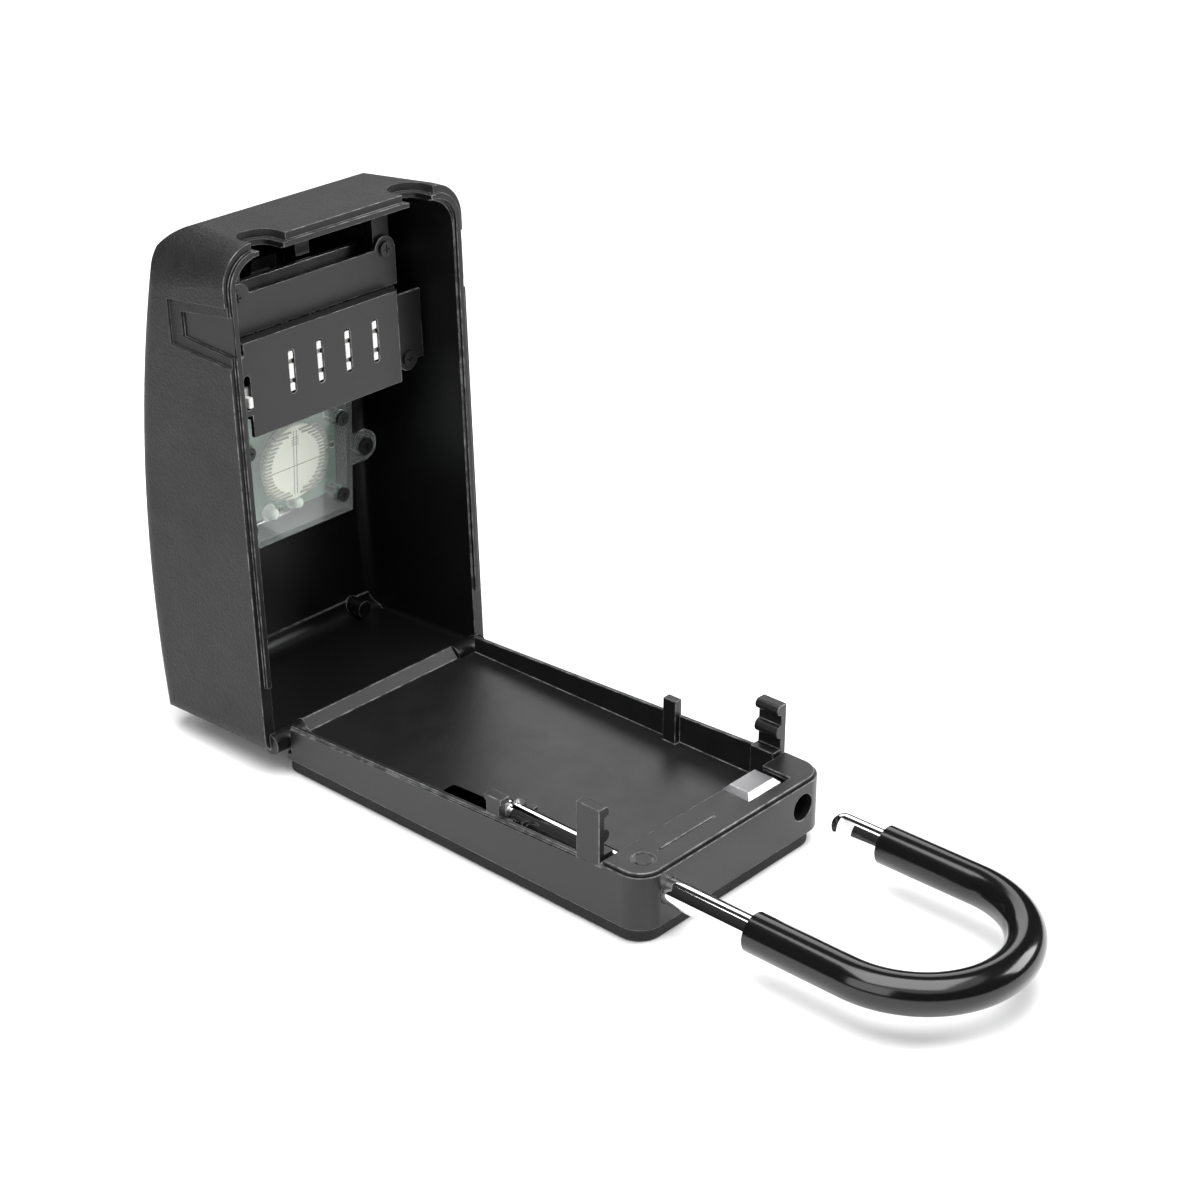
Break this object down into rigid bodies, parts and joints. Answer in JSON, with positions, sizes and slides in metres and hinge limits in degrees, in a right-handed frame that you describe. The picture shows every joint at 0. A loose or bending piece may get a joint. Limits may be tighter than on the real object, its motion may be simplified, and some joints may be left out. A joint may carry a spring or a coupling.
{
  "type": "key lock box",
  "caption": "Portable key lock box, cover swung open on its hinge and sleeved shackle pulled out, with number dials and a dial light.",
  "frame": {"origin": "centre of the underside of the back pad", "axes": "+Z away from the back pad, -Y towards the shackle, +Y towards the cover's hinge, X across the box"},
  "size_m": [0.098, 0.3125, 0.173],
  "materials": {
    "tray_metal": "satin black",
    "pad_rubber": "grained",
    "black_metal": "satin",
    "steel": "zinc plated",
    "brushed": "brushed",
    "chrome": "polished",
    "sleeve_vinyl": "smooth",
    "cover_metal": "fine texture outside",
    "black_plastic": "matt",
    "wheel_plastic": "matt",
    "black_steel": "blackened",
    "clear_plastic": "clear",
    "board": "solder resist",
    "lens": "clear lens",
    "cell": "pale holder",
    "button_rubber": "smooth"
  },
  "bodies": {
    "base": {"base_tray": "tray_metal", "back_pad": "pad_rubber", "end_block_cover": "black_metal", "hinge_pin": "steel", "tray_screws": "steel"},
    "shackle_carriage": {"shackle_clip": "steel"},
    "shackle": {"shackle_rod": "chrome", "shackle_sleeve": "sleeve_vinyl"},
    "release": {"release_button": "brushed", "shackle_bolt": "steel"},
    "cover": {"cover_shell": "cover_metal", "front_bezel": "black_plastic", "upper_plate": "black_metal", "combination_housing": "black_plastic", "detent_pawls": "steel", "wheel_shaft": "steel", "housing_screws": "black_steel", "light_case": "clear_plastic", "light_board": "board", "led_lenses": "lens", "coin_cell": "cell", "case_screws": "black_steel", "ear_screws": "black_steel"},
    "latch": {"opening_lever": "black_metal", "latch_plate": "steel", "lever_screw": "steel"},
    "dial_1": {"number_wheel_1": "wheel_plastic", "wheel_hub_1": "steel"},
    "dial_2": {"number_wheel_2": "wheel_plastic", "wheel_hub_2": "steel"},
    "dial_3": {"number_wheel_3": "wheel_plastic", "wheel_hub_3": "steel"},
    "dial_4": {"number_wheel_4": "wheel_plastic", "wheel_hub_4": "steel"},
    "shutter": {"dial_shutter": "black_plastic"},
    "light_switch": {"light_button": "button_rubber"},
    "reset": {"reset_lever": "steel"}
  },
  "joints": [
    {"name": "cover_hinge", "type": "hinge", "parent": "base", "child": "cover", "pos_m": [0, 0.0748, 0.0114], "axis": [1, 0, 0], "range_deg": [0, 92.2]},
    {"name": "shackle_slide", "type": "slide", "parent": "base", "child": "shackle_carriage", "axis": [0, 1, 0], "range_m": [0, 0.023]},
    {"name": "shackle_turn", "type": "hinge", "parent": "shackle_carriage", "child": "shackle", "pos_m": [-0.0305, -0.0154, 0.0155], "axis": [0, 1, 0], "range_deg": [-180, 0]},
    {"name": "release_slide", "type": "slide", "parent": "base", "child": "release", "axis": [1, 0, 0], "range_m": [0, 0.0023]},
    {"name": "opening_lever_slide", "type": "slide", "parent": "cover", "child": "latch", "axis": [0, 0.0384, 0.9993], "range_m": [0, 0.006]},
    {"name": "dial_1_turn", "type": "hinge", "parent": "cover", "child": "dial_1", "pos_m": [-0.01695, 0.11435, 0.12397], "axis": [1, 0, 0], "continuous": true},
    {"name": "dial_2_turn", "type": "hinge", "parent": "cover", "child": "dial_2", "pos_m": [-0.00525, 0.11435, 0.12397], "axis": [1, 0, 0], "continuous": true},
    {"name": "dial_3_turn", "type": "hinge", "parent": "cover", "child": "dial_3", "pos_m": [0.00645, 0.11435, 0.12397], "axis": [1, 0, 0], "continuous": true},
    {"name": "dial_4_turn", "type": "hinge", "parent": "cover", "child": "dial_4", "pos_m": [0.01815, 0.11435, 0.12397], "axis": [1, 0, 0], "continuous": true},
    {"name": "shutter_slide", "type": "hinge", "parent": "cover", "child": "shutter", "pos_m": [0, -0.26899, 0.06263], "axis": [1, 0, 0], "range_deg": [0, 4.85]},
    {"name": "light_button_press", "type": "slide", "parent": "cover", "child": "light_switch", "axis": [0, -0.9993, 0.0384], "range_m": [0, 0.0012], "stiffness_N_per_m": 300},
    {"name": "reset_lever_slide", "type": "slide", "parent": "cover", "child": "reset", "axis": [0, 0.0384, 0.9993], "range_m": [0, 0.006]}
  ]
}
